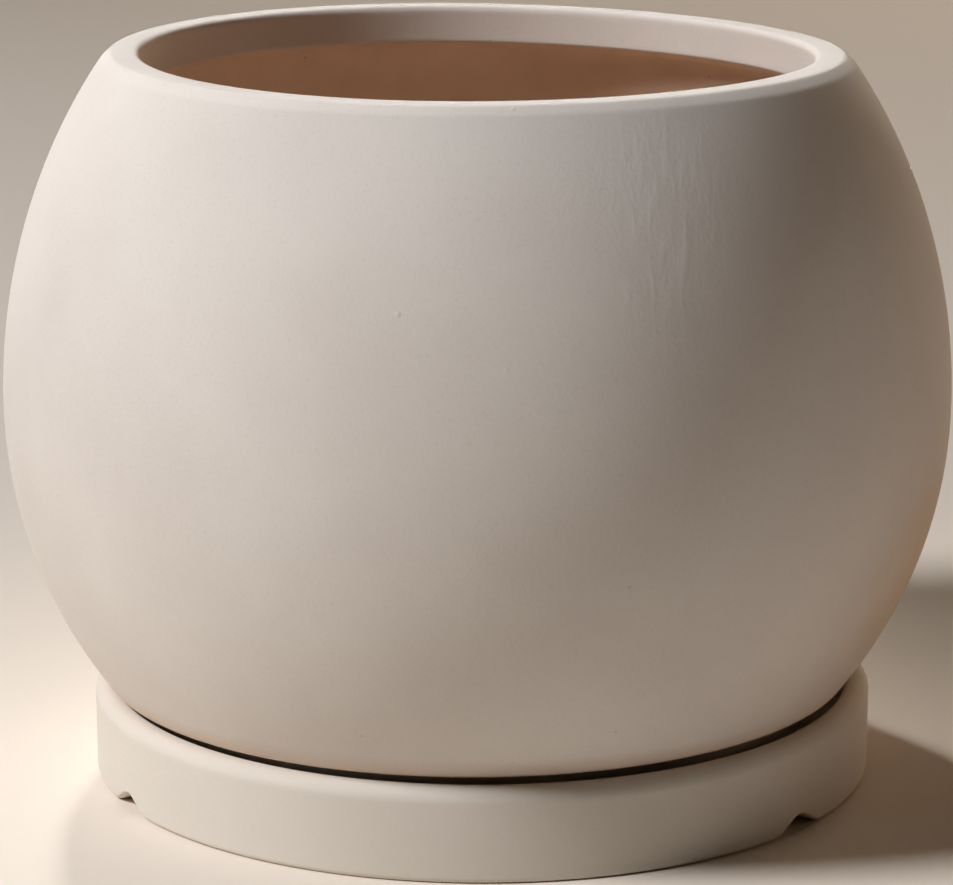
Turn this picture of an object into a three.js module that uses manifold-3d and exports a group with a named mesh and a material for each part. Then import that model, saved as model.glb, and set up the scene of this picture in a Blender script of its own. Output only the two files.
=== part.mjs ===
// Round-bellied ceramic plant pot standing in its drip saucer.
// Millimetres, +Z up. The origin is on the floor, under the pot's own axis, and -Y is the front.
import * as THREE from 'three';
import { mergeVertices } from 'three/addons/utils/BufferGeometryUtils.js';
import Module from 'manifold-3d';

const wasm = await Module();
wasm.setup();

// Clearance that every pair of touching pieces keeps.
const contactGap = 0.3;

// Drip saucer.
const saucerHeight = 19.4;
const saucerWall = 5.2;
const saucerFloorThickness = 3.9;
const saucerFootHeight = 3.6;
const saucerFootWidth = 9;
const saucerRimOuterRound = 3;
const saucerRimInnerRound = 1.5;
const saucerBottomRound = 1.2;
const saucerWellFillet = 2.5;
// The pot was set down this far to the left of the saucer's centre.
const saucerOffset = 1;

// Arched notches that let air and water out under a foot ring, cut by eye at about a third of a turn.
const notchBearings = [-62, 51.3, 174.7];
const saucerNotchWidth = 15;
const saucerNotchHeight = 3.6;
const potNotchWidth = 12;
const potNotchHeight = 1.8;

// Pot: the belly is two quarter ellipses that meet at its widest ring.
const bellyRadius = 100;
const rimRadius = 77;
const hemRadius = 79.2;
const shoulderRise = 72.5;
const bellyDrop = 60.5;
const potWall = 7;

// Pot's mouth: a flat lip with a straight collar inside it, over a wall that falls away outwards.
const lipWidth = 7;
const lipOuterRound = 2.5;
const lipInnerRound = 2.5;
const collarDepth = 8.4;
const collarEdgeRound = 0.8;
const collarUndercut = 2;

// Pot's base: a step that clears the saucer's rim, a tapered neck and a foot ring.
const hemGap = 0.9;
const hemRound = 2;
const stepDepth = 2.6;
const seatClearance = 1.4;
const footTaper = 8;
const footWidth = 9;
const footRound = 0.8;
const footRecess = 2.5;
const baseThickness = 8;
const floorFillet = 8;

// Drain hole, its plastic mesh and the wire clip that holds the mesh.
const drainRadius = 10;
const drainChamfer = 0.8;
const meshThickness = 1.2;
const meshPitch = 4;
const meshStrand = 1;
const meshMargin = 6;
const wireDiameter = 1.5;
const clipFootLength = 8;

// How finely round shapes are divided.
const turnSteps = 60;
const bellySteps = 8;
const wallSteps = 6;
const roundSteps = 3;
const notchSteps = 8;
const wireSides = 8;
const wireSteps = 52;

// Heights and radii that follow from the sizes above.
const saucerFloorTop = saucerFootHeight + saucerFloorThickness;
const neckRadius = hemRadius - stepDepth;
const saucerInnerRadius = neckRadius + seatClearance;
const saucerOuterRadius = saucerInnerRadius + saucerWall;
const footBottom = saucerFloorTop + contactGap;
const hemHeight = saucerHeight + hemGap;
const equatorHeight = hemHeight + bellyDrop;
const rimHeight = equatorHeight + shoulderRise;
const mouthRadius = rimRadius - lipWidth;
const recessHeight = footBottom + footRecess;
const floorHeight = recessHeight + baseThickness;
const footRadius = neckRadius - footTaper;

const degrees = Math.PI / 180;

// A belly's quarter ellipse, above (side 1) or below (side -1) its widest ring.
function quarterEllipse(side, inset) {
  const reach = side > 0 ? shoulderRise : bellyDrop;
  const endRadius = side > 0 ? rimRadius : hemRadius;
  const halfHeight = reach / Math.sqrt(1 - (endRadius / bellyRadius) ** 2);
  return { side, halfWidth: bellyRadius - inset, halfHeight: halfHeight - inset };
}

function ellipsePoint(ellipse, angle) {
  const radius = ellipse.halfWidth * Math.cos(angle);
  const height = equatorHeight + ellipse.side * ellipse.halfHeight * Math.sin(angle);
  return new THREE.Vector2(radius, height);
}

function ellipseNormal(ellipse, angle) {
  const across = Math.cos(angle) / ellipse.halfWidth;
  const up = ellipse.side * Math.sin(angle) / ellipse.halfHeight;
  return new THREE.Vector2(across, up).normalize();
}

// Angle on the ellipse at which it reaches a height.
function ellipseAngle(ellipse, height) {
  return Math.asin(ellipse.side * (height - equatorHeight) / ellipse.halfHeight);
}

// Circle of a given radius that touches the ellipse from inside and also a level plane.
function cornerRound(ellipse, planeHeight, radius) {
  const wanted = planeHeight - ellipse.side * radius;
  let low = 0;
  let high = Math.PI / 2;
  for (let step = 0; step < 50; step += 1) {
    const middle = (low + high) / 2;
    const height = ellipsePoint(ellipse, middle).y - radius * ellipseNormal(ellipse, middle).y;
    if (ellipse.side * (height - wanted) < 0) {
      low = middle;
    } else {
      high = middle;
    }
  }
  const normal = ellipseNormal(ellipse, low);
  const centre = ellipsePoint(ellipse, low).addScaledVector(normal, -radius);
  return { angle: low, centre, radius, turn: Math.atan2(normal.y, normal.x) / degrees };
}

function ellipseRun(ellipse, fromAngle, toAngle, steps) {
  const points = [];
  for (let step = 0; step <= steps; step += 1) {
    points.push(ellipsePoint(ellipse, fromAngle + (toAngle - fromAngle) * step / steps));
  }
  return points;
}

// Arc about (radius, height), between two directions in degrees from straight outwards.
function arc(centreRadius, centreHeight, radius, fromDegrees, toDegrees, steps = roundSteps) {
  const points = [];
  for (let step = 0; step <= steps; step += 1) {
    const angle = (fromDegrees + (toDegrees - fromDegrees) * step / steps) * degrees;
    points.push(new THREE.Vector2(
      centreRadius + radius * Math.cos(angle),
      centreHeight + radius * Math.sin(angle),
    ));
  }
  return points;
}

function point(radius, height) {
  return new THREE.Vector2(radius, height);
}

// Body of revolution from an outline that ends on the axis or closes on itself.
function turned(outline) {
  const geometry = new THREE.LatheGeometry(outline, turnSteps);
  geometry.rotateX(Math.PI / 2);
  return geometry;
}

// Outline without doubled points, joined back to its start.
function closed(outline) {
  const points = outline.filter((next, index) => index === 0 || next.distanceTo(outline[index - 1]) > 0.01);
  points.push(points[0].clone());
  return points;
}

function welded(geometry) {
  const bare = geometry.clone();
  bare.deleteAttribute('normal');
  bare.deleteAttribute('uv');
  return mergeVertices(bare, 1e-3);
}

function toSolid(geometry) {
  const bare = welded(geometry);
  const vertProperties = new Float32Array(bare.attributes.position.array);
  const triVerts = new Uint32Array(bare.index.array);
  return new wasm.Manifold(new wasm.Mesh({ numProp: 3, vertProperties, triVerts }));
}

function toGeometry(solid) {
  const mesh = solid.getMesh();
  const geometry = new THREE.BufferGeometry();
  geometry.setAttribute('position', new THREE.BufferAttribute(mesh.vertProperties, 3));
  geometry.setIndex(new THREE.BufferAttribute(mesh.triVerts, 1));
  geometry.computeVertexNormals();
  return geometry;
}

// Arch-topped bar that cuts one notch across a foot ring, pointing out along a bearing.
function notchCutter(width, height, bottom, innerRadius, outerRadius, bearing) {
  const half = width / 2;
  const archRadius = (half ** 2 + height ** 2) / (2 * height);
  const reach = Math.asin(half / archRadius);
  const centreHeight = bottom + height - archRadius;
  const section = new THREE.Shape();
  section.moveTo(-half, bottom - 1);
  section.lineTo(half, bottom - 1);
  for (let step = 0; step <= notchSteps; step += 1) {
    const angle = reach * (1 - 2 * step / notchSteps);
    section.lineTo(archRadius * Math.sin(angle), centreHeight + archRadius * Math.cos(angle));
  }
  section.closePath();
  const bar = new THREE.ExtrudeGeometry(section, { depth: outerRadius - innerRadius, bevelEnabled: false });
  bar.translate(0, 0, innerRadius);
  bar.rotateX(Math.PI / 2);
  bar.rotateZ(bearing * degrees);
  return toSolid(bar);
}

function cutNotches(solid, width, height, bottom, innerRadius, outerRadius) {
  let result = solid;
  for (const bearing of notchBearings) {
    result = result.subtract(notchCutter(width, height, bottom, innerRadius, outerRadius, bearing));
  }
  return result;
}

function saucerGeometry() {
  const outer = saucerOuterRadius;
  const inner = saucerInnerRadius;
  const footInner = outer - saucerFootWidth;
  const outline = [
    point(0, saucerFootHeight),
    point(footInner, saucerFootHeight),
    point(footInner, 0),
    ...arc(outer - saucerBottomRound, saucerBottomRound, saucerBottomRound, -90, 0),
    ...arc(outer - saucerRimOuterRound, saucerHeight - saucerRimOuterRound, saucerRimOuterRound, 0, 90),
    ...arc(inner + saucerRimInnerRound, saucerHeight - saucerRimInnerRound, saucerRimInnerRound, 90, 180),
    ...arc(inner - saucerWellFillet, saucerFloorTop + saucerWellFillet, saucerWellFillet, 0, -90),
    point(0, saucerFloorTop),
  ];
  const body = toSolid(turned(outline));
  const solid = cutNotches(body, saucerNotchWidth, saucerNotchHeight, 0, footInner - 2, outer + 2);
  return toGeometry(solid);
}

function potGeometry() {
  const upperOuter = quarterEllipse(1, 0);
  const lowerOuter = quarterEllipse(-1, 0);
  const upperInner = quarterEllipse(1, potWall);
  const lowerInner = quarterEllipse(-1, potWall);
  const hem = cornerRound(lowerOuter, hemHeight, hemRound);
  const lip = cornerRound(upperOuter, rimHeight, lipOuterRound);
  const floor = cornerRound(lowerInner, floorHeight, floorFillet);
  const collarBottom = rimHeight - collarDepth;
  const undercutAngle = ellipseAngle(upperInner, collarBottom - collarUndercut);
  const footInner = footRadius - footWidth;
  const outline = [
    // Foot ring and neck, up to the step over the saucer's rim.
    ...arc(footInner + footRound, footBottom + footRound, footRound, 180, 270, 2),
    ...arc(footRadius - footRound, footBottom + footRound, footRound, 270, 360, 2),
    point(neckRadius, hemHeight),
    ...arc(hem.centre.x, hem.centre.y, hem.radius, -90, hem.turn),
    // Belly.
    ...ellipseRun(lowerOuter, hem.angle, 0, bellySteps),
    ...ellipseRun(upperOuter, 0, lip.angle, bellySteps),
    // Lip and collar.
    ...arc(lip.centre.x, lip.centre.y, lip.radius, lip.turn, 90),
    ...arc(mouthRadius + lipInnerRound, rimHeight - lipInnerRound, lipInnerRound, 90, 180),
    ...arc(mouthRadius + collarEdgeRound, collarBottom + collarEdgeRound, collarEdgeRound, 180, 270, 2),
    // Inside wall, down to the floor and the drain hole.
    ...ellipseRun(upperInner, undercutAngle, 0, wallSteps),
    ...ellipseRun(lowerInner, 0, floor.angle, wallSteps),
    ...arc(floor.centre.x, floor.centre.y, floor.radius, floor.turn, -90),
    point(drainRadius + drainChamfer, floorHeight),
    point(drainRadius, floorHeight - drainChamfer),
    point(drainRadius, recessHeight + drainChamfer),
    point(drainRadius + drainChamfer, recessHeight),
    point(footInner, recessHeight),
  ];
  const body = toSolid(turned(closed(outline)));
  const solid = cutNotches(
    body, potNotchWidth, potNotchHeight, footBottom, footInner - 2, footRadius + 2,
  );
  return toGeometry(solid);
}

const meshBottom = floorHeight + contactGap;

// Square of plastic grid, wide enough to lap the drain hole all round.
function meshGeometry() {
  const cells = 2 * Math.ceil((drainRadius + meshMargin) / meshPitch) + 1;
  const half = cells * meshPitch / 2;
  const barLength = 2 * half + meshStrand;
  const centreZ = meshBottom + meshThickness / 2;
  let grid = null;
  for (let line = 0; line <= cells; line += 1) {
    const place = line * meshPitch - half;
    const along = new THREE.BoxGeometry(barLength, meshStrand, meshThickness);
    along.translate(0, place, centreZ);
    const across = new THREE.BoxGeometry(meshStrand, barLength, meshThickness);
    across.translate(place, 0, centreZ);
    const pair = toSolid(along).add(toSolid(across));
    grid = grid ? grid.add(pair) : pair;
  }
  return toGeometry(grid);
}

// Wire staple: a bar over the mesh, two legs down the drain hole and feet bent out under the base.
function clipGeometry() {
  const wireRadius = wireDiameter / 2;
  const legRoom = drainRadius - wireRadius - contactGap;
  const legX = Math.floor(legRoom / meshPitch) * meshPitch;
  const barZ = meshBottom + meshThickness + contactGap + wireRadius;
  const footZ = recessHeight - contactGap - wireRadius;
  const footX = drainRadius + clipFootLength;
  // A bend starts inside a hole of the mesh, so the wire lies level over the strands.
  const bend = (meshPitch - meshStrand) / 2;
  const at = (x, z) => new THREE.Vector3(x, 0, z);
  const straight = (from, to) => new THREE.LineCurve3(from, to);
  const bent = (from, corner, to) => new THREE.QuadraticBezierCurve3(from, corner, to);
  const route = new THREE.CurvePath();
  route.add(straight(at(-footX, footZ), at(-legX - bend, footZ)));
  route.add(bent(at(-legX - bend, footZ), at(-legX, footZ), at(-legX, footZ + bend)));
  route.add(straight(at(-legX, footZ + bend), at(-legX, barZ - bend)));
  route.add(bent(at(-legX, barZ - bend), at(-legX, barZ), at(-legX + bend, barZ)));
  route.add(straight(at(-legX + bend, barZ), at(legX - bend, barZ)));
  route.add(bent(at(legX - bend, barZ), at(legX, barZ), at(legX, barZ - bend)));
  route.add(straight(at(legX, barZ - bend), at(legX, footZ + bend)));
  route.add(bent(at(legX, footZ + bend), at(legX, footZ), at(legX + bend, footZ)));
  route.add(straight(at(legX + bend, footZ), at(footX, footZ)));
  const section = new THREE.Shape();
  section.absarc(0, 0, wireRadius, 0, 2 * Math.PI);
  return new THREE.ExtrudeGeometry(section, {
    steps: wireSteps,
    curveSegments: wireSides / 2,
    extrudePath: route,
  });
}

const matteSlip = new THREE.MeshStandardMaterial({ color: 0xdacdc2, roughness: 0.85, metalness: 0 });
const blackPlastic = new THREE.MeshStandardMaterial({ color: 0x25282a, roughness: 0.55, metalness: 0 });
const softWire = new THREE.MeshStandardMaterial({ color: 0xb9bcbd, roughness: 0.35, metalness: 1 });

function named(name, geometry, material) {
  const mesh = new THREE.Mesh(geometry, material);
  mesh.name = name;
  return mesh;
}

const group = new THREE.Group();

const saucer = named('drip_saucer', saucerGeometry(), matteSlip);
saucer.position.x = saucerOffset;
group.add(saucer);

const pot = new THREE.Group();
pot.add(named('pot_body', potGeometry(), matteSlip));
pot.add(named('drain_mesh', meshGeometry(), blackPlastic));
pot.add(named('mesh_clip', clipGeometry(), softWire));
group.add(pot);

export default group;
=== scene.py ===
import math

import bpy
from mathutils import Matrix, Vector


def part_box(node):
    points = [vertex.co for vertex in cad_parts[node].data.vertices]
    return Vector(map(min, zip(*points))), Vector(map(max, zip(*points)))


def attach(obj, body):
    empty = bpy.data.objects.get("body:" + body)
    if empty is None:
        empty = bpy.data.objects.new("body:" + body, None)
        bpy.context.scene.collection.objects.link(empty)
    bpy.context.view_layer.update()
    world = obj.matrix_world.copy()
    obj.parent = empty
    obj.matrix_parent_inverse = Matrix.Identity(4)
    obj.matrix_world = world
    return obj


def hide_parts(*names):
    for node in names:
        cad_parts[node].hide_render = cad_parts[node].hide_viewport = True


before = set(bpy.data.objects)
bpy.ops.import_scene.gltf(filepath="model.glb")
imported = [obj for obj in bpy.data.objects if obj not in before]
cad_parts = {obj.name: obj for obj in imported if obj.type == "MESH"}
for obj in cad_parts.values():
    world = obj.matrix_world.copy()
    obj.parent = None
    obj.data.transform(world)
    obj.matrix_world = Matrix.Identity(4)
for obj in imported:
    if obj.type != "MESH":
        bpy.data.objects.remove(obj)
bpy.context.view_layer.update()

MM = 0.001

# Sizes that the CAD model gives.
POT_LOW, POT_HIGH = (Vector(corner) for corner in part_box("pot_body"))
SAUCER_LOW, SAUCER_HIGH = (Vector(corner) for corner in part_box("drip_saucer"))
BELLY_RADIUS = (POT_HIGH.x - POT_LOW.x) / 2
FOOT_BOTTOM = POT_LOW.z
RIM_HEIGHT = POT_HIGH.z
SAUCER_RADIUS = (SAUCER_HIGH.x - SAUCER_LOW.x) / 2
SAUCER_HEIGHT = SAUCER_HIGH.z
SAUCER_X = (SAUCER_HIGH.x + SAUCER_LOW.x) / 2

# Pot, as a potter would measure it.
RIM_RADIUS = 77 * MM
HEM_RADIUS = 79.2 * MM
HEM_GAP = 0.9 * MM
HEM_ROUND = 2 * MM
SHOULDER_RISE = 72.5 * MM
POT_WALL = 7 * MM
LIP_WIDTH = 7 * MM
LIP_BEVEL_DROP = 1.9 * MM
LIP_BEVEL_REACH = 2.1 * MM
LIP_TOP_ROUND = 1.6 * MM
LIP_SHOULDER_ROUND = 5 * MM
LIP_INNER_ROUND = 1.4 * MM
COLLAR_DEPTH = 8.4 * MM
COLLAR_EDGE_ROUND = 0.8 * MM
COLLAR_UNDERCUT = 2 * MM
STEP_DEPTH = 2.6 * MM
FOOT_TAPER = 8 * MM
FOOT_WIDTH = 9 * MM
FOOT_ROUND = 0.8 * MM
FOOT_RECESS = 2.5 * MM
BASE_THICKNESS = 8 * MM
FLOOR_FILLET = 8 * MM
DRAIN_RADIUS = 10 * MM
DRAIN_ROUND = 0.8 * MM

# Saucer.
SAUCER_WALL = 5.2 * MM
SAUCER_FLOOR = 3.9 * MM
SAUCER_FOOT = 3.6 * MM
SAUCER_FOOT_WIDTH = 9 * MM
SAUCER_OUTER_ROUND = 3 * MM
SAUCER_INNER_ROUND = 1.5 * MM
SAUCER_BOTTOM_ROUND = 1.2 * MM
SAUCER_WELL_FILLET = 2.5 * MM

# Notches scooped under both foot rings, at about a third of a turn each. A bearing is counted
# from the front towards +X.
NOTCH_BEARINGS = (-62, 51.3, 174.7)
SAUCER_NOTCH_WIDTH = 16.5 * MM
SAUCER_NOTCH_HEIGHT = 3.5 * MM
POT_NOTCH_WIDTH = 16 * MM
POT_NOTCH_HEIGHT = 1.8 * MM

# A thrown rim and hem are never quite level. Each stands on a level of its own, with waves of one, two
# and three crests to the turn, as pairs of a size in millimetres and the bearing of a crest.
RIM_LEVEL = -0.1
RIM_WAVES = ((0.5, -128), (0.37, 47), (0.08, 59))
HEM_LEVEL = 0.12
HEM_WAVES = ((0.3, 60), (0.0, 0), (0.0, 0))
SAUCER_LEVEL = -0.12
SAUCER_WAVES = ((0.18, 95), (0.0, 0), (0.0, 0))

# Middle of the tan patch of painted warm light, low on the belly's right, where warm light bounced onto it.
WARM_GLOW_CENTRE = (88 * MM, -26 * MM, 46 * MM)

# Middle of the patch on the shoulder that was wiped with a sponge.
SPONGED_X = 36 * MM
SPONGED_HEIGHT = 130 * MM

# Levels and radii that follow from the sizes above.
HEM_HEIGHT = SAUCER_HEIGHT + HEM_GAP
EQUATOR = RIM_HEIGHT - SHOULDER_RISE
BELLY_DROP = EQUATOR - HEM_HEIGHT
MOUTH_RADIUS = RIM_RADIUS - LIP_WIDTH
NECK_RADIUS = HEM_RADIUS - STEP_DEPTH
FOOT_RADIUS = NECK_RADIUS - FOOT_TAPER
RECESS_HEIGHT = FOOT_BOTTOM + FOOT_RECESS
FLOOR_HEIGHT = RECESS_HEIGHT + BASE_THICKNESS

# Steps to the turn, and how far they crowd towards the notches, from 0 up to 1.
TURN_STEPS = 320
CROWDING = 0.75

# Camera: a long lens, in millimetres, a little above the rim and aimed at the belly's middle.
CAMERA_LENS = 140.95
CAMERA_PLACE = (0, -0.7735, 0.2564)
CAMERA_TARGET = (-0.0002, 0, 0.069)
FLOOR_REACH = 6.0


def colour(hex_value):
    """Linear colour of an sRGB hex value."""
    parts = [int(hex_value[place:place + 2], 16) / 255 for place in (1, 3, 5)]
    linear = [part / 12.92 if part <= 0.04045 else ((part + 0.055) / 1.055) ** 2.4 for part in parts]
    return (*linear, 1.0)


def per(size_mm):
    """Texture scale that gives features of this size in millimetres."""
    return 1 / (size_mm * MM)


def add(tree, kind, inputs=None, **settings):
    """Adds a node with its settings, and its inputs' values or links."""
    made = tree.nodes.new(kind)
    for name, value in settings.items():
        setattr(made, name, value)
    for key, value in (inputs or {}).items():
        if isinstance(value, bpy.types.NodeSocket):
            tree.links.new(value, made.inputs[key])
        else:
            made.inputs[key].default_value = value
    return made


# ---------------------------------------------------------------- materials

def new_material(name):
    """A material with an empty node tree."""
    material = bpy.data.materials.new(name)
    material.use_nodes = True
    material.node_tree.nodes.clear()
    return material, material.node_tree


def finish_material(tree, inputs):
    """Ends a material's tree with its shader."""
    shader = add(tree, "ShaderNodeBsdfPrincipled", inputs)
    add(tree, "ShaderNodeOutputMaterial", {"Surface": shader.outputs["BSDF"]})


def calculate(tree, operation, *values):
    return add(tree, "ShaderNodeMath", dict(enumerate(values)), operation=operation).outputs[0]


def spread(tree, value, low, high, start=0.0, end=1.0):
    """Maps a value from low..high onto start..end, and holds it there outside."""
    return add(tree, "ShaderNodeMapRange", {
        "Value": value, "From Min": low, "From Max": high, "To Min": start, "To Max": end,
    }).outputs["Result"]


def blend(tree, share, first, second):
    """Mixes two colours by a share between 0 and 1."""
    return add(tree, "ShaderNodeMix", {0: share, 6: first, 7: second}, data_type="RGBA").outputs[2]


def dots(tree, place, apart_mm, radius_mm, chance):
    """Round dots with soft edges, at most one in each cell of a loose grid, in a share of the cells."""
    cells = add(tree, "ShaderNodeTexVoronoi", {"Vector": place, "Scale": per(apart_mm)})
    near = spread(tree, cells.outputs["Distance"], 0.4 * radius_mm / apart_mm, radius_mm / apart_mm, 1.0, 0.0)
    lot = add(tree, "ShaderNodeSeparateColor", {0: cells.outputs["Color"]}).outputs[0]
    return calculate(tree, "MULTIPLY", near, calculate(tree, "LESS_THAN", lot, chance))


def slipped_stoneware():
    """Stoneware under a matte beige slip, sponged on and fired without glaze; raw buff clay where
    the slip stops. Dry and even to the eye, with a fine grit, faint wipe marks and a few pinholes."""
    material, tree = new_material("matte_slip_over_buff_stoneware")
    place = add(tree, "ShaderNodeTexCoord").outputs["Object"]
    apart = add(tree, "ShaderNodeSeparateXYZ", {0: place}).outputs

    # Broad, faint clouding where the slip lies thicker, about 35 mm across, and a speckle of 0.6 mm.
    cloud = add(tree, "ShaderNodeTexNoise", {"Vector": place, "Scale": per(35), "Detail": 3.0})
    slip = blend(tree, spread(tree, cloud.outputs["Fac"], 0.3, 0.7), colour("#d7cec5"), colour("#ded6cd"))
    speckle = add(tree, "ShaderNodeTexNoise", {"Vector": place, "Scale": per(0.6), "Detail": 2.0})
    slip = blend(tree, spread(tree, speckle.outputs["Fac"], 0.55, 0.75, 0.0, 0.16), slip, colour("#b5a698"))

    # Where a sponge was drawn down the shoulder, a third of the way round to the right: soft upright
    # strokes about 2 mm apart, over a patch some 30 mm wide and 45 mm tall.
    stroke_place = add(tree, "ShaderNodeCombineXYZ", {
        0: apart["X"], 1: calculate(tree, "MULTIPLY", apart["Z"], 0.22),
    }).outputs[0]
    strokes = add(tree, "ShaderNodeTexNoise", {
        "Vector": stroke_place, "Scale": per(1.9), "Detail": 3.0, "Distortion": 0.4,
    })
    aside = calculate(tree, "ABSOLUTE", calculate(tree, "SUBTRACT", apart["X"], SPONGED_X))
    above = calculate(tree, "ABSOLUTE", calculate(tree, "SUBTRACT", apart["Z"], SPONGED_HEIGHT))
    front = calculate(tree, "LESS_THAN", apart["Y"], 0.0)
    patch = calculate(
        tree, "MULTIPLY", spread(tree, aside, 3 * MM, 15 * MM, 1.0, 0.0),
        spread(tree, above, 10 * MM, 26 * MM, 1.0, 0.0))
    patch = calculate(tree, "MULTIPLY", patch, front)
    wiped = calculate(tree, "MULTIPLY", patch, spread(tree, strokes.outputs["Fac"], 0.45, 0.7))
    slip = blend(tree, calculate(tree, "MULTIPLY", wiped, 0.26), slip, colour("#efe9e4"))

    # Pinholes where gas came through the slip, darkened with painted shade in their pits, and grains of grog
    # that stand up under it.
    pinholes = dots(tree, place, 13, 0.45, 0.35)
    grains = dots(tree, place, 17, 0.8, 0.4)
    slip = blend(tree, calculate(tree, "MULTIPLY", pinholes, 0.25), slip, colour("#8d7868"))

    # Painted shade: a warm brown darkening just over the hem, where the pot sits close over the saucer.
    over_hem = calculate(tree, "SUBTRACT", apart["Z"], HEM_HEIGHT)
    hem = calculate(tree, "MULTIPLY", spread(tree, over_hem, 0.5 * MM, 5 * MM, 0.45, 0.0),
                    calculate(tree, "GREATER_THAN", over_hem, -0.5 * MM))
    slip = blend(tree, hem, slip, colour("#cfa888"))
    # Painted warm shade: a brown tint inside the collar that stands in for light bounced round inside the
    # pot.
    reach = add(tree, "ShaderNodeVectorMath", {
        0: add(tree, "ShaderNodeCombineXYZ", {0: apart["X"], 1: apart["Y"]}).outputs[0],
    }, operation="LENGTH").outputs["Value"]
    collar = calculate(tree, "MULTIPLY", spread(tree, reach, MOUTH_RADIUS, MOUTH_RADIUS + 1 * MM, 0.14, 0.0),
                       calculate(tree, "GREATER_THAN", apart["Z"], EQUATOR))
    slip = blend(tree, collar, slip, colour("#d6b191"))

    # Low on the right, a cloudy tan patch of painted warm bounce light.
    glow_place = add(tree, "ShaderNodeVectorMath", {0: place, 1: WARM_GLOW_CENTRE}, operation="DISTANCE")
    warm_glow = spread(tree, glow_place.outputs["Value"], 10 * MM, 42 * MM, 1.0, 0.0)
    glow_cloud = add(tree, "ShaderNodeTexNoise", {"Vector": place, "Scale": per(14), "Detail": 3.0})
    warm_glow = calculate(tree, "MULTIPLY", warm_glow, spread(tree, glow_cloud.outputs["Fac"], 0.3, 0.65, 0.35, 0.7))
    slip = blend(tree, warm_glow, slip, colour("#cda779"))

    # The saucer took a thicker, creamier coat.
    on_saucer = calculate(tree, "LESS_THAN", apart["Z"], SAUCER_HEIGHT + 0.3 * MM)
    slip = blend(tree, calculate(tree, "MULTIPLY", on_saucer, 0.5), slip, colour("#ded6c7"))

    # Raw clay: pale buff, coarser and cloudier than the slip, with darker grains.
    clay_cloud = add(tree, "ShaderNodeTexNoise", {"Vector": place, "Scale": per(12), "Detail": 5.0})
    cloudy = spread(tree, clay_cloud.outputs["Fac"], 0.3, 0.7)
    clay = blend(tree, cloudy, colour("#e0c5ad"), colour("#e7cfb9"))
    dark_grains = calculate(tree, "MULTIPLY", dots(tree, place, 5, 0.5, 0.5), 0.4)
    clay = blend(tree, dark_grains, clay, colour("#8a6a50"))
    raw = add(tree, "ShaderNodeAttribute", attribute_name="raw_clay").outputs["Fac"]

    grit = add(tree, "ShaderNodeTexNoise", {"Vector": place, "Scale": per(0.9), "Detail": 4.0})
    relief = calculate(tree, "MULTIPLY_ADD", wiped, 0.8, grit.outputs["Fac"])
    relief = calculate(tree, "MULTIPLY_ADD", pinholes, -2.0, relief)
    relief = calculate(tree, "MULTIPLY_ADD", grains, 2.5, relief)
    bump = add(tree, "ShaderNodeBump", {"Height": relief, "Strength": 0.3, "Distance": 0.15 * MM})
    finish_material(tree, {
        "Base Color": blend(tree, raw, slip, clay),
        "Roughness": spread(tree, cloud.outputs["Fac"], 0.3, 0.7, 0.82, 0.9),
        "IOR": 1.5,
        "Specular IOR Level": 0.3,
        "Normal": bump.outputs["Normal"],
    })
    return material


def moulded_plastic():
    """Black polyethylene, extruded as a net: slightly waxy, with a soft sheen and fine scuffs."""
    material, tree = new_material("extruded_black_polyethylene")
    place = add(tree, "ShaderNodeTexCoord").outputs["Object"]
    scuffs = add(tree, "ShaderNodeTexNoise", {"Vector": place, "Scale": per(1.5), "Detail": 4.0})
    shade = spread(tree, scuffs.outputs["Fac"], 0.35, 0.7)
    bump = add(tree, "ShaderNodeBump", {
        "Height": scuffs.outputs["Fac"], "Strength": 0.3, "Distance": 0.04 * MM,
    })
    finish_material(tree, {
        "Base Color": blend(tree, shade, colour("#232628"), colour("#2f3335")),
        "Roughness": spread(tree, scuffs.outputs["Fac"], 0.35, 0.7, 0.42, 0.6),
        "IOR": 1.51,
        "Normal": bump.outputs["Normal"],
    })
    return material


def drawn_wire():
    """Soft aluminium wire, drawn and left bare: satin, with lines along its length."""
    material, tree = new_material("drawn_soft_aluminium")
    place = add(tree, "ShaderNodeTexCoord").outputs["Object"]
    # The wire runs along X and then down, so the lines are 0.1 mm apart across and 8 mm long.
    drawn = add(tree, "ShaderNodeMapping", {"Vector": place, "Scale": (per(8), per(0.1), per(8))})
    lines = add(tree, "ShaderNodeTexNoise", {"Vector": drawn.outputs[0], "Scale": 1.0, "Detail": 2.0})
    bump = add(tree, "ShaderNodeBump", {
        "Height": lines.outputs["Fac"], "Strength": 0.3, "Distance": 0.02 * MM,
    })
    finish_material(tree, {
        "Base Color": blend(tree, lines.outputs["Fac"], colour("#bfc1c2"), colour("#d2d4d4")),
        "Metallic": 1.0,
        "Roughness": spread(tree, lines.outputs["Fac"], 0.3, 0.7, 0.28, 0.42),
        "Normal": bump.outputs["Normal"],
    })
    return material


def studio_floor():
    """Seamless paper: matte and pale, with a fibre too fine to see from where the camera stands."""
    material, tree = new_material("pale_seamless_paper")
    place = add(tree, "ShaderNodeTexCoord").outputs["Object"]
    fibre = add(tree, "ShaderNodeTexNoise", {"Vector": place, "Scale": per(2), "Detail": 3.0})
    finish_material(tree, {
        "Base Color": blend(tree, fibre.outputs["Fac"], colour("#ece1d3"), colour("#eee3d6")),
        "Roughness": 0.9,
        "Specular IOR Level": 0.2,
    })
    return material


# ---------------------------------------------------------------- outlines

def line(start, end, steps):
    """Points from start towards end, which is left to the next stretch."""
    return [
        (start[0] + (end[0] - start[0]) * step / steps, start[1] + (end[1] - start[1]) * step / steps)
        for step in range(steps)
    ]


def arc(centre, radius, start, end, steps):
    """Arc about a centre, between two directions in degrees from straight outwards."""
    points = []
    for step in range(steps + 1):
        angle = math.radians(start + (end - start) * step / steps)
        points.append((centre[0] + radius * math.cos(angle), centre[1] + radius * math.sin(angle)))
    return points


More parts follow.
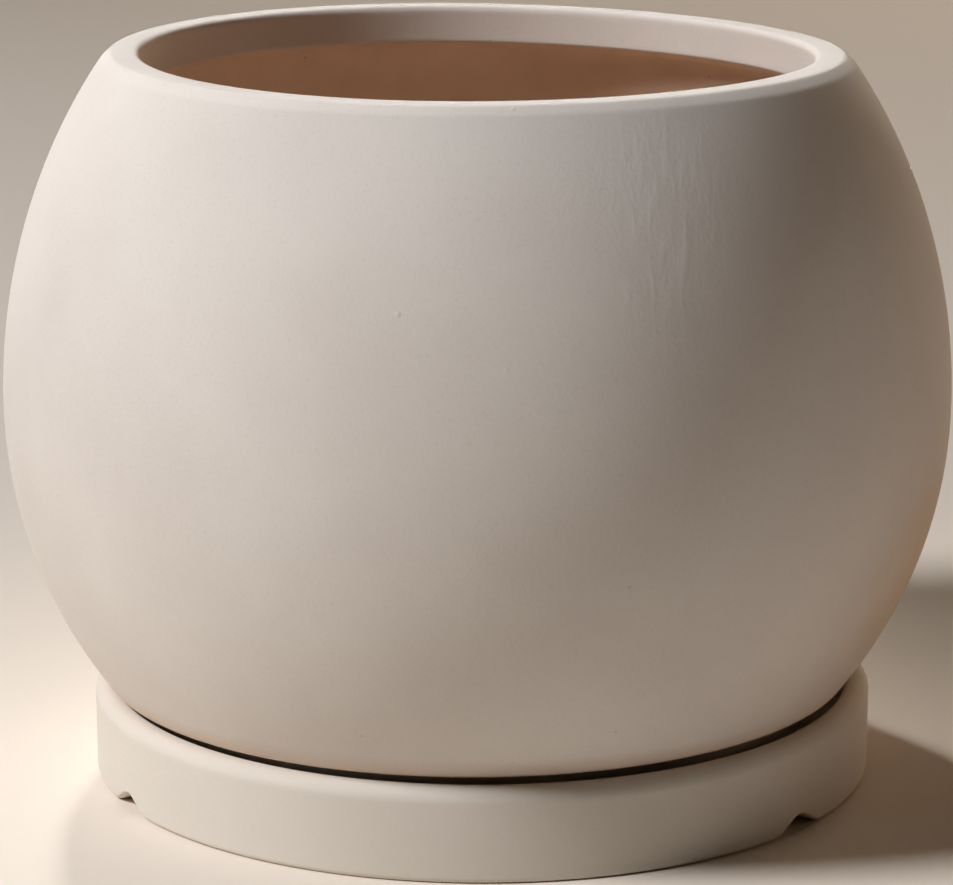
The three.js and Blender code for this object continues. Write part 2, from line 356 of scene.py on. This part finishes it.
def rounded(before, corner, after, radius, steps=4):
    """Small round at the corner between two straight runs."""
    corner = Vector(corner)
    back, on = (Vector(before) - corner).normalized(), (Vector(after) - corner).normalized()
    half = back.angle(on) / 2
    centre = corner + (back + on).normalized() * radius / math.sin(half)
    start, end = (corner + way * radius / math.tan(half) - centre for way in (back, on))
    return [tuple(centre + start.lerp(end, step / steps).normalized() * radius) for step in range(steps + 1)]


class Ellipse:
    """A quarter of the belly's outline, above (side 1) or below (side -1) its widest ring."""

    def __init__(self, side, inset=0.0):
        reach = SHOULDER_RISE if side > 0 else BELLY_DROP
        end_radius = RIM_RADIUS if side > 0 else HEM_RADIUS
        self.side = side
        self.across = BELLY_RADIUS - inset
        self.up = reach / math.sqrt(1 - (end_radius / BELLY_RADIUS) ** 2) - inset

    def point(self, angle):
        return self.across * math.cos(angle), EQUATOR + self.side * self.up * math.sin(angle)

    def normal(self, angle):
        out, up = math.cos(angle) / self.across, self.side * math.sin(angle) / self.up
        size = math.hypot(out, up)
        return out / size, up / size

    def angle_at(self, height):
        return math.asin(self.side * (height - EQUATOR) / self.up)

    def run(self, start, end, steps):
        return [self.point(start + (end - start) * step / steps) for step in range(steps + 1)]

    def corner(self, plane, radius):
        """Angle, centre and direction of the circle that touches the ellipse and a level plane."""
        low, high = 0.0, math.pi / 2
        for _ in range(50):
            middle = (low + high) / 2
            height = self.point(middle)[1] - radius * self.normal(middle)[1]
            if self.side * (height - plane) + radius < 0:
                low = middle
            else:
                high = middle
        spot, normal = self.point(low), self.normal(low)
        centre = (spot[0] - radius * normal[0], spot[1] - radius * normal[1])
        return low, centre, math.degrees(math.atan2(normal[1], normal[0]))


def outline_object(name, stretches):
    """Edges along an outline. Each stretch is (raw clay or not, its points)."""
    points, raw = [], []
    for bare, stretch in stretches:
        for spot in stretch:
            if points and math.dist(points[-1], spot) < 0.02 * MM:
                continue
            points.append(spot)
            raw.append(float(bare))
    mesh = bpy.data.meshes.new(name)
    mesh.from_pydata(
        [(radius, 0.0, height) for radius, height in points],
        [(place, place + 1) for place in range(len(points) - 1)], [],
    )
    mesh.attributes.new("raw_clay", "FLOAT", "POINT").data.foreach_set("value", raw)
    piece = bpy.data.objects.new(name, mesh)
    bpy.context.scene.collection.objects.link(piece)
    return piece


def pot_outline():
    """Outline of the pot's wall from the foot ring up the outside, over the lip and back down."""
    upper, lower = Ellipse(1), Ellipse(-1)
    upper_in, lower_in = Ellipse(1, POT_WALL), Ellipse(-1, POT_WALL)
    hem_angle, hem_centre, hem_turn = lower.corner(HEM_HEIGHT, HEM_ROUND)
    bevel_low = upper.point(upper.angle_at(RIM_HEIGHT - LIP_BEVEL_DROP))
    bevel_high = (bevel_low[0] - LIP_BEVEL_REACH, RIM_HEIGHT)
    under_bevel = upper.angle_at(bevel_low[1] - LIP_SHOULDER_ROUND / 7)
    floor_angle, floor_centre, floor_turn = lower_in.corner(FLOOR_HEIGHT, FLOOR_FILLET)
    collar_bottom = RIM_HEIGHT - COLLAR_DEPTH
    foot_inner = FOOT_RADIUS - FOOT_WIDTH
    lip_inner = (MOUTH_RADIUS + LIP_INNER_ROUND, RIM_HEIGHT - LIP_INNER_ROUND)
    collar_edge = (MOUTH_RADIUS + COLLAR_EDGE_ROUND, collar_bottom + COLLAR_EDGE_ROUND)
    wall_top = upper_in.angle_at(collar_bottom - COLLAR_UNDERCUT)
    drain_low, drain_high = RECESS_HEIGHT + DRAIN_ROUND, FLOOR_HEIGHT - DRAIN_ROUND
    foot_line = FOOT_BOTTOM + FOOT_ROUND
    foot = [
        *arc((foot_inner + FOOT_ROUND, foot_line), FOOT_ROUND, 180, 270, 4),
        *line((foot_inner + FOOT_ROUND, FOOT_BOTTOM), (FOOT_RADIUS - FOOT_ROUND, FOOT_BOTTOM), 4),
        *arc((FOOT_RADIUS - FOOT_ROUND, foot_line), FOOT_ROUND, 270, 360, 4),
    ]
    outside = [
        *line((FOOT_RADIUS, foot_line), (NECK_RADIUS, HEM_HEIGHT), 12),
        *line((NECK_RADIUS, HEM_HEIGHT), (hem_centre[0], HEM_HEIGHT), 2),
        *arc(hem_centre, HEM_ROUND, -90, hem_turn, 6),
        *lower.run(hem_angle, 0, 44),
        *upper.run(0, under_bevel, 48),
        *rounded(upper.point(under_bevel), bevel_low, bevel_high, LIP_SHOULDER_ROUND),
        *rounded(bevel_low, bevel_high, (MOUTH_RADIUS, RIM_HEIGHT), LIP_TOP_ROUND),
        *arc(lip_inner, LIP_INNER_ROUND, 90, 180, 6),
        *line((MOUTH_RADIUS, lip_inner[1]), (MOUTH_RADIUS, collar_edge[1]), 8),
        *arc(collar_edge, COLLAR_EDGE_ROUND, 180, 270, 6),
    ]
    edge = arc(collar_edge, COLLAR_EDGE_ROUND, 270, 280, 1)[-1]
    inside = [
        *line(edge, upper_in.point(wall_top), 4),
        *upper_in.run(wall_top, 0, 24),
        *lower_in.run(0, floor_angle, 24),
        *arc(floor_centre, FLOOR_FILLET, floor_turn, -90, 6),
        *line((floor_centre[0], FLOOR_HEIGHT), (DRAIN_RADIUS + DRAIN_ROUND, FLOOR_HEIGHT), 6),
        *arc((DRAIN_RADIUS + DRAIN_ROUND, drain_high), DRAIN_ROUND, 90, 180, 3),
        *line((DRAIN_RADIUS, drain_high), (DRAIN_RADIUS, drain_low), 3),
        *arc((DRAIN_RADIUS + DRAIN_ROUND, drain_low), DRAIN_ROUND, 180, 270, 3),
        *line((DRAIN_RADIUS + DRAIN_ROUND, RECESS_HEIGHT), (foot_inner, RECESS_HEIGHT), 4),
        *line((foot_inner, RECESS_HEIGHT), (foot_inner, foot_line), 3),
        (foot_inner, foot_line),
    ]
    return outline_object("pot_outline", [(True, foot), (False, outside), (True, inside)])


def saucer_outline():
    """Outline of the saucer from the axis out under the foot, up the wall and back in over the floor."""
    outer = SAUCER_RADIUS
    inner = outer - SAUCER_WALL
    foot_inner = outer - SAUCER_FOOT_WIDTH
    floor_top = SAUCER_FOOT + SAUCER_FLOOR
    rim_out = (outer - SAUCER_OUTER_ROUND, SAUCER_HEIGHT - SAUCER_OUTER_ROUND)
    rim_in = (inner + SAUCER_INNER_ROUND, SAUCER_HEIGHT - SAUCER_INNER_ROUND)
    bottom = (outer - SAUCER_BOTTOM_ROUND, SAUCER_BOTTOM_ROUND)
    well = (inner - SAUCER_WELL_FILLET, floor_top + SAUCER_WELL_FILLET)
    under = [
        *line((0, SAUCER_FOOT), (foot_inner, SAUCER_FOOT), 8),
        *line((foot_inner, SAUCER_FOOT), (foot_inner, 0), 6),
        *line((foot_inner, 0), (bottom[0], 0), 8),
    ]
    coated = [
        *arc(bottom, SAUCER_BOTTOM_ROUND, -90, 0, 8),
        *line((outer, bottom[1]), (outer, rim_out[1]), 30),
        *arc(rim_out, SAUCER_OUTER_ROUND, 0, 90, 10),
        *arc(rim_in, SAUCER_INNER_ROUND, 90, 180, 8),
        *line((inner, rim_in[1]), (inner, well[1]), 8),
        *arc(well, SAUCER_WELL_FILLET, 0, -90, 6),
        *line((well[0], floor_top), (0, floor_top), 12),
        (0, floor_top),
    ]
    return outline_object("saucer_outline", [(True, under), (False, coated)])


# ---------------------------------------------------------------- geometry nodes

def turned_ware_tree():
    """Turns an outline about +Z into thrown ware, with an uneven rim and three notches in its foot."""
    tree = bpy.data.node_groups.new("turned_ware", "GeometryNodeTree")
    face = tree.interface
    face.new_socket("Outline", in_out="INPUT", socket_type="NodeSocketGeometry")
    sizes = ["Centre X", "Notch Width", "Notch Height", "Foot Bottom", "Foot Inner Radius", "Foot Recess",
             "Foot Blend", "Hem Height", "Widest Height", "Rim Height", "Rim Level", "Hem Level"]
    for order in (1, 2, 3):
        sizes.append(f"Notch Bearing {order}")
        sizes.extend(f"{edge} {part} {order}" for edge in ("Rim", "Hem") for part in ("Wave", "Bearing"))
    for name in sizes:
        face.new_socket(name, in_out="INPUT", socket_type="NodeSocketFloat")
    face.new_socket("Turn Steps", in_out="INPUT", socket_type="NodeSocketInt")
    face.new_socket("Finish", in_out="INPUT", socket_type="NodeSocketMaterial")
    face.new_socket("Ware", in_out="OUTPUT", socket_type="NodeSocketGeometry")
    given = add(tree, "NodeGroupInput").outputs

    def math_node(operation, *values):
        return calculate(tree, operation, *values)

    # One row of the grid for each point of the outline, one column for each step of the turn.
    columns = math_node("ADD", given["Turn Steps"], 1)
    count = add(tree, "GeometryNodeAttributeDomainSize", {"Geometry": given["Outline"]}, component="MESH")
    grid = add(tree, "GeometryNodeMeshGrid", {
        "Size X": 1.0, "Size Y": 1.0, "Vertices X": count.outputs["Point Count"], "Vertices Y": columns,
    })
    index = add(tree, "GeometryNodeInputIndex").outputs[0]
    row = math_node("FLOOR", math_node("DIVIDE", index, columns))
    column = math_node("SUBTRACT", index, math_node("MULTIPLY", row, columns))
    position = add(tree, "GeometryNodeInputPosition").outputs[0]
    spot = add(tree, "GeometryNodeSampleIndex", {
        "Geometry": given["Outline"], "Value": position, "Index": row,
    }, data_type="FLOAT_VECTOR")
    apart = add(tree, "ShaderNodeSeparateXYZ", {0: spot.outputs[0]})
    radius, height = apart.outputs["X"], apart.outputs["Z"]

    # Steps crowd together about the middle notch and a third of a turn from it, where the others are
    # near, so that the notches' edges come out crisp.
    even = math_node("DIVIDE", math_node("MULTIPLY", column, 2 * math.pi), given["Turn Steps"])
    from_notch = math_node("SUBTRACT", even, given["Notch Bearing 3"])
    crowding = math_node("SINE", math_node("MULTIPLY", from_notch, 3.0))
    angle = math_node("SUBTRACT", even, math_node("MULTIPLY", crowding, CROWDING / 3))

    # Distance round the ring from the nearest notch's middle, and how far the notch lifts the foot.
    nearest = math.pi
    for order in (1, 2, 3):
        turned = math_node("ADD", math_node("SUBTRACT", angle, given[f"Notch Bearing {order}"]), math.pi)
        aside = math_node("SUBTRACT", math_node("FLOORED_MODULO", turned, 2 * math.pi), math.pi)
        nearest = math_node("MINIMUM", math_node("ABSOLUTE", aside), nearest)
    shape = add(tree, "ShaderNodeMapRange", {
        "Value": math_node("MULTIPLY", nearest, radius), "From Min": 0.0,
        "From Max": math_node("DIVIDE", given["Notch Width"], 2.0),
        "To Min": given["Notch Height"], "To Max": 0.0,
    }, interpolation_type="SMOOTHSTEP")
    above = math_node("SUBTRACT", height, given["Foot Bottom"])
    middle_radius = math_node("ADD", given["Foot Inner Radius"], 2 * MM)
    outside = math_node("GREATER_THAN", radius, middle_radius)
    depth = math_node("ADD", given["Foot Recess"], math_node(
        "MULTIPLY", outside, math_node("SUBTRACT", given["Foot Blend"], given["Foot Recess"])))
    left = math_node("SUBTRACT", 1.0, math_node("DIVIDE", above, depth))
    left = math_node("MAXIMUM", left, 0.0)
    on_ring = math_node("GREATER_THAN", radius, math_node("SUBTRACT", given["Foot Inner Radius"], 0.01 * MM))
    lift = math_node("MULTIPLY", math_node("MULTIPLY", shape.outputs["Result"], left), on_ring)

    # The rim's and the hem's unevenness die away to the widest ring, and the hem's to the foot, the
    # same on both faces of the wall. Inside the foot ring their waves die away to the axis.
    off_axis = math_node("MINIMUM", math_node("DIVIDE", radius, given["Foot Inner Radius"]), 1.0)

    def share(start, end):
        ends = {"Value": height, "From Min": given[start], "From Max": given[end]}
        return add(tree, "ShaderNodeMapRange", ends).outputs["Result"]

    def waves(edge, part):
        total = given[f"{edge} Level"]
        for order in (1, 2, 3):
            turned = math_node("SUBTRACT", angle, given[f"{edge} Bearing {order}"])
            wave = math_node("COSINE", math_node("MULTIPLY", turned, float(order)))
            crest = math_node("MULTIPLY", off_axis, wave)
            total = math_node("MULTIPLY_ADD", crest, given[f"{edge} Wave {order}"], total)
        return math_node("MULTIPLY", total, part)

    rim_share = share("Widest Height", "Rim Height")
    hem_share = math_node("MINIMUM", share("Widest Height", "Hem Height"), share("Foot Bottom", "Hem Height"))
    uneven = math_node("ADD", waves("Rim", rim_share), waves("Hem", hem_share))
    height = math_node("ADD", math_node("ADD", height, lift), uneven)
    round_x = math_node("MULTIPLY", radius, math_node("SINE", angle))
    round_y = math_node("MULTIPLY", radius, math_node("MULTIPLY", math_node("COSINE", angle), -1.0))
    final = add(tree, "ShaderNodeCombineXYZ", {
        0: math_node("ADD", round_x, given["Centre X"]), 1: round_y, 2: height,
    })
    moved = add(tree, "GeometryNodeSetPosition", {
        "Geometry": grid.outputs["Mesh"], "Position": final.outputs[0],
    })
    coat = add(tree, "GeometryNodeInputNamedAttribute", {"Name": "raw_clay"}, data_type="FLOAT")
    bare = add(tree, "GeometryNodeSampleIndex", {
        "Geometry": given["Outline"], "Value": coat.outputs["Attribute"], "Index": row,
    }, data_type="FLOAT")
    stored = add(tree, "GeometryNodeStoreNamedAttribute", {
        "Geometry": moved.outputs[0], "Name": "raw_clay", "Value": bare.outputs[0],
    }, data_type="FLOAT", domain="POINT")
    joined = add(tree, "GeometryNodeMergeByDistance", {"Geometry": stored.outputs[0], "Distance": 0.001 * MM})
    outward = add(tree, "GeometryNodeFlipFaces", {"Mesh": joined.outputs[0]})
    smooth = add(tree, "GeometryNodeSetShadeSmooth", {"Geometry": outward.outputs[0]})
    real = add(tree, "GeometryNodeRealizeInstances", {"Geometry": smooth.outputs[0]})
    dressed = add(tree, "GeometryNodeSetMaterial", {"Geometry": real.outputs[0], "Material": given["Finish"]})
    add(tree, "NodeGroupOutput", {"Ware": dressed.outputs[0]})
    return tree


def grown(name, start, tree, values):
    """Runs a node tree on an object and leaves its result as a plain mesh."""
    modifier = start.modifiers.new(tree.name, "NODES")
    modifier.node_group = tree
    sockets = {item.name: item.identifier for item in tree.interface.items_tree if item.in_out == "INPUT"}
    for key, value in values.items():
        modifier[sockets[key]] = value
    evaluated = start.evaluated_get(bpy.context.evaluated_depsgraph_get())
    mesh = bpy.data.meshes.new_from_object(evaluated)
    mesh.name = name
    bpy.data.objects.remove(start)
    piece = bpy.data.objects.new(name, mesh)
    bpy.context.scene.collection.objects.link(piece)
    return piece


def unevenness(edge, level, waves):
    """Inputs that give one edge its level and its waves."""
    values = {f"{edge} Level": level * MM}
    for order, (size, bearing) in enumerate(waves, 1):
        values[f"{edge} Wave {order}"] = size * MM
        values[f"{edge} Bearing {order}"] = math.radians(bearing)
    return values


# ---------------------------------------------------------------- pieces

slip = slipped_stoneware()
plastic = moulded_plastic()
wire = drawn_wire()
ware_tree = turned_ware_tree()

cut_notches = {
    f"Notch Bearing {order}": math.radians(bearing) for order, bearing in enumerate(NOTCH_BEARINGS, 1)
}

pot = grown("thrown_pot", pot_outline(), ware_tree, {
    "Centre X": 0.0, "Notch Width": POT_NOTCH_WIDTH, "Notch Height": POT_NOTCH_HEIGHT,
    "Foot Bottom": FOOT_BOTTOM, "Foot Inner Radius": FOOT_RADIUS - FOOT_WIDTH, "Foot Recess": FOOT_RECESS,
    "Foot Blend": 4 * MM, "Hem Height": HEM_HEIGHT, "Widest Height": EQUATOR, "Rim Height": RIM_HEIGHT,
    "Turn Steps": TURN_STEPS, "Finish": slip, **cut_notches,
    **unevenness("Rim", RIM_LEVEL, RIM_WAVES), **unevenness("Hem", HEM_LEVEL, HEM_WAVES),
})
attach(pot, "pot")
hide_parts("pot_body")

saucer = grown("drip_saucer_ware", saucer_outline(), ware_tree, {
    "Centre X": SAUCER_X, "Notch Width": SAUCER_NOTCH_WIDTH, "Notch Height": SAUCER_NOTCH_HEIGHT,
    "Foot Bottom": 0.0, "Foot Inner Radius": SAUCER_RADIUS - SAUCER_FOOT_WIDTH, "Foot Recess": SAUCER_FOOT,
    "Foot Blend": 6 * MM, "Hem Height": HEM_HEIGHT, "Widest Height": 0.0, "Rim Height": SAUCER_HEIGHT,
    "Turn Steps": TURN_STEPS, "Finish": slip, **cut_notches,
    **unevenness("Rim", SAUCER_LEVEL, SAUCER_WAVES),
})
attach(saucer, "saucer")
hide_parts("drip_saucer")

# The drain mesh and its wire clip keep their CAD shapes.
for node, finish in (("drain_mesh", plastic), ("mesh_clip", wire)):
    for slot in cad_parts[node].material_slots:
        slot.material = finish


# ---------------------------------------------------------------- studio

def place_camera():
    camera = bpy.data.cameras.new("camera")
    camera.sensor_width = 36
    camera.lens = CAMERA_LENS
    holder = bpy.data.objects.new("camera", camera)
    bpy.context.scene.collection.objects.link(holder)
    holder.location = CAMERA_PLACE
    aim = Vector(CAMERA_TARGET) - holder.location
    holder.rotation_euler = aim.to_track_quat("-Z", "Y").to_euler()
    bpy.context.scene.camera = holder


def soft_light(name, bearing, elevation, distance, size, power, tint, target=(0, 0, 0.08), beam=180):
    """Round soft box that faces the target, with its beam in degrees. Bearing is counted from the
    front, towards +X."""
    lamp = bpy.data.lights.new(name, "AREA")
    lamp.shape = "DISK"
    lamp.size = size
    lamp.energy = power
    lamp.color = colour(tint)[:3]
    lamp.spread = math.radians(beam)
    holder = bpy.data.objects.new(name, lamp)
    bpy.context.scene.collection.objects.link(holder)
    turn, rise = math.radians(bearing), math.radians(elevation)
    away = Vector((math.sin(turn) * math.cos(rise), -math.cos(turn) * math.cos(rise), math.sin(rise)))
    holder.location = Vector(target) + away * distance
    holder.rotation_euler = (-away).to_track_quat("-Z", "Y").to_euler()


def studio():
    """Paper floor, four soft lights and a dark room."""
    mesh = bpy.data.meshes.new("floor")
    turns = ((-1, -1), (1, -1), (1, 1), (-1, 1))
    corners = [(side * FLOOR_REACH, end * FLOOR_REACH, 0) for side, end in turns]
    mesh.from_pydata(corners, [], [(0, 1, 2, 3)])
    mesh.materials.append(studio_floor())
    floor = bpy.data.objects.new("floor", mesh)
    bpy.context.scene.collection.objects.link(floor)
    soft_light("key", -69, 43, 2.5, 0.61, 61, "#fafbff")
    soft_light("fill_behind", 154, 10, 2.5, 1.34, 13, "#ffe4c2")
    soft_light("mouth_spot", 196, 48, 2.5, 0.3, 0.18, "#fffefb", (0, 0, 0.15), 10)
    soft_light("warm_edge", 112, 5, 2.5, 0.6, 6.2, "#ffd8b4")
    world = bpy.data.worlds.new("room")
    bpy.context.scene.world = world
    world.use_nodes = True
    backdrop = world.node_tree.nodes["Background"]
    backdrop.inputs["Color"].default_value = colour("#ffe6d4")
    backdrop.inputs["Strength"].default_value = 0.0
    bpy.context.scene.view_settings.view_transform = "Standard"


place_camera()
studio()
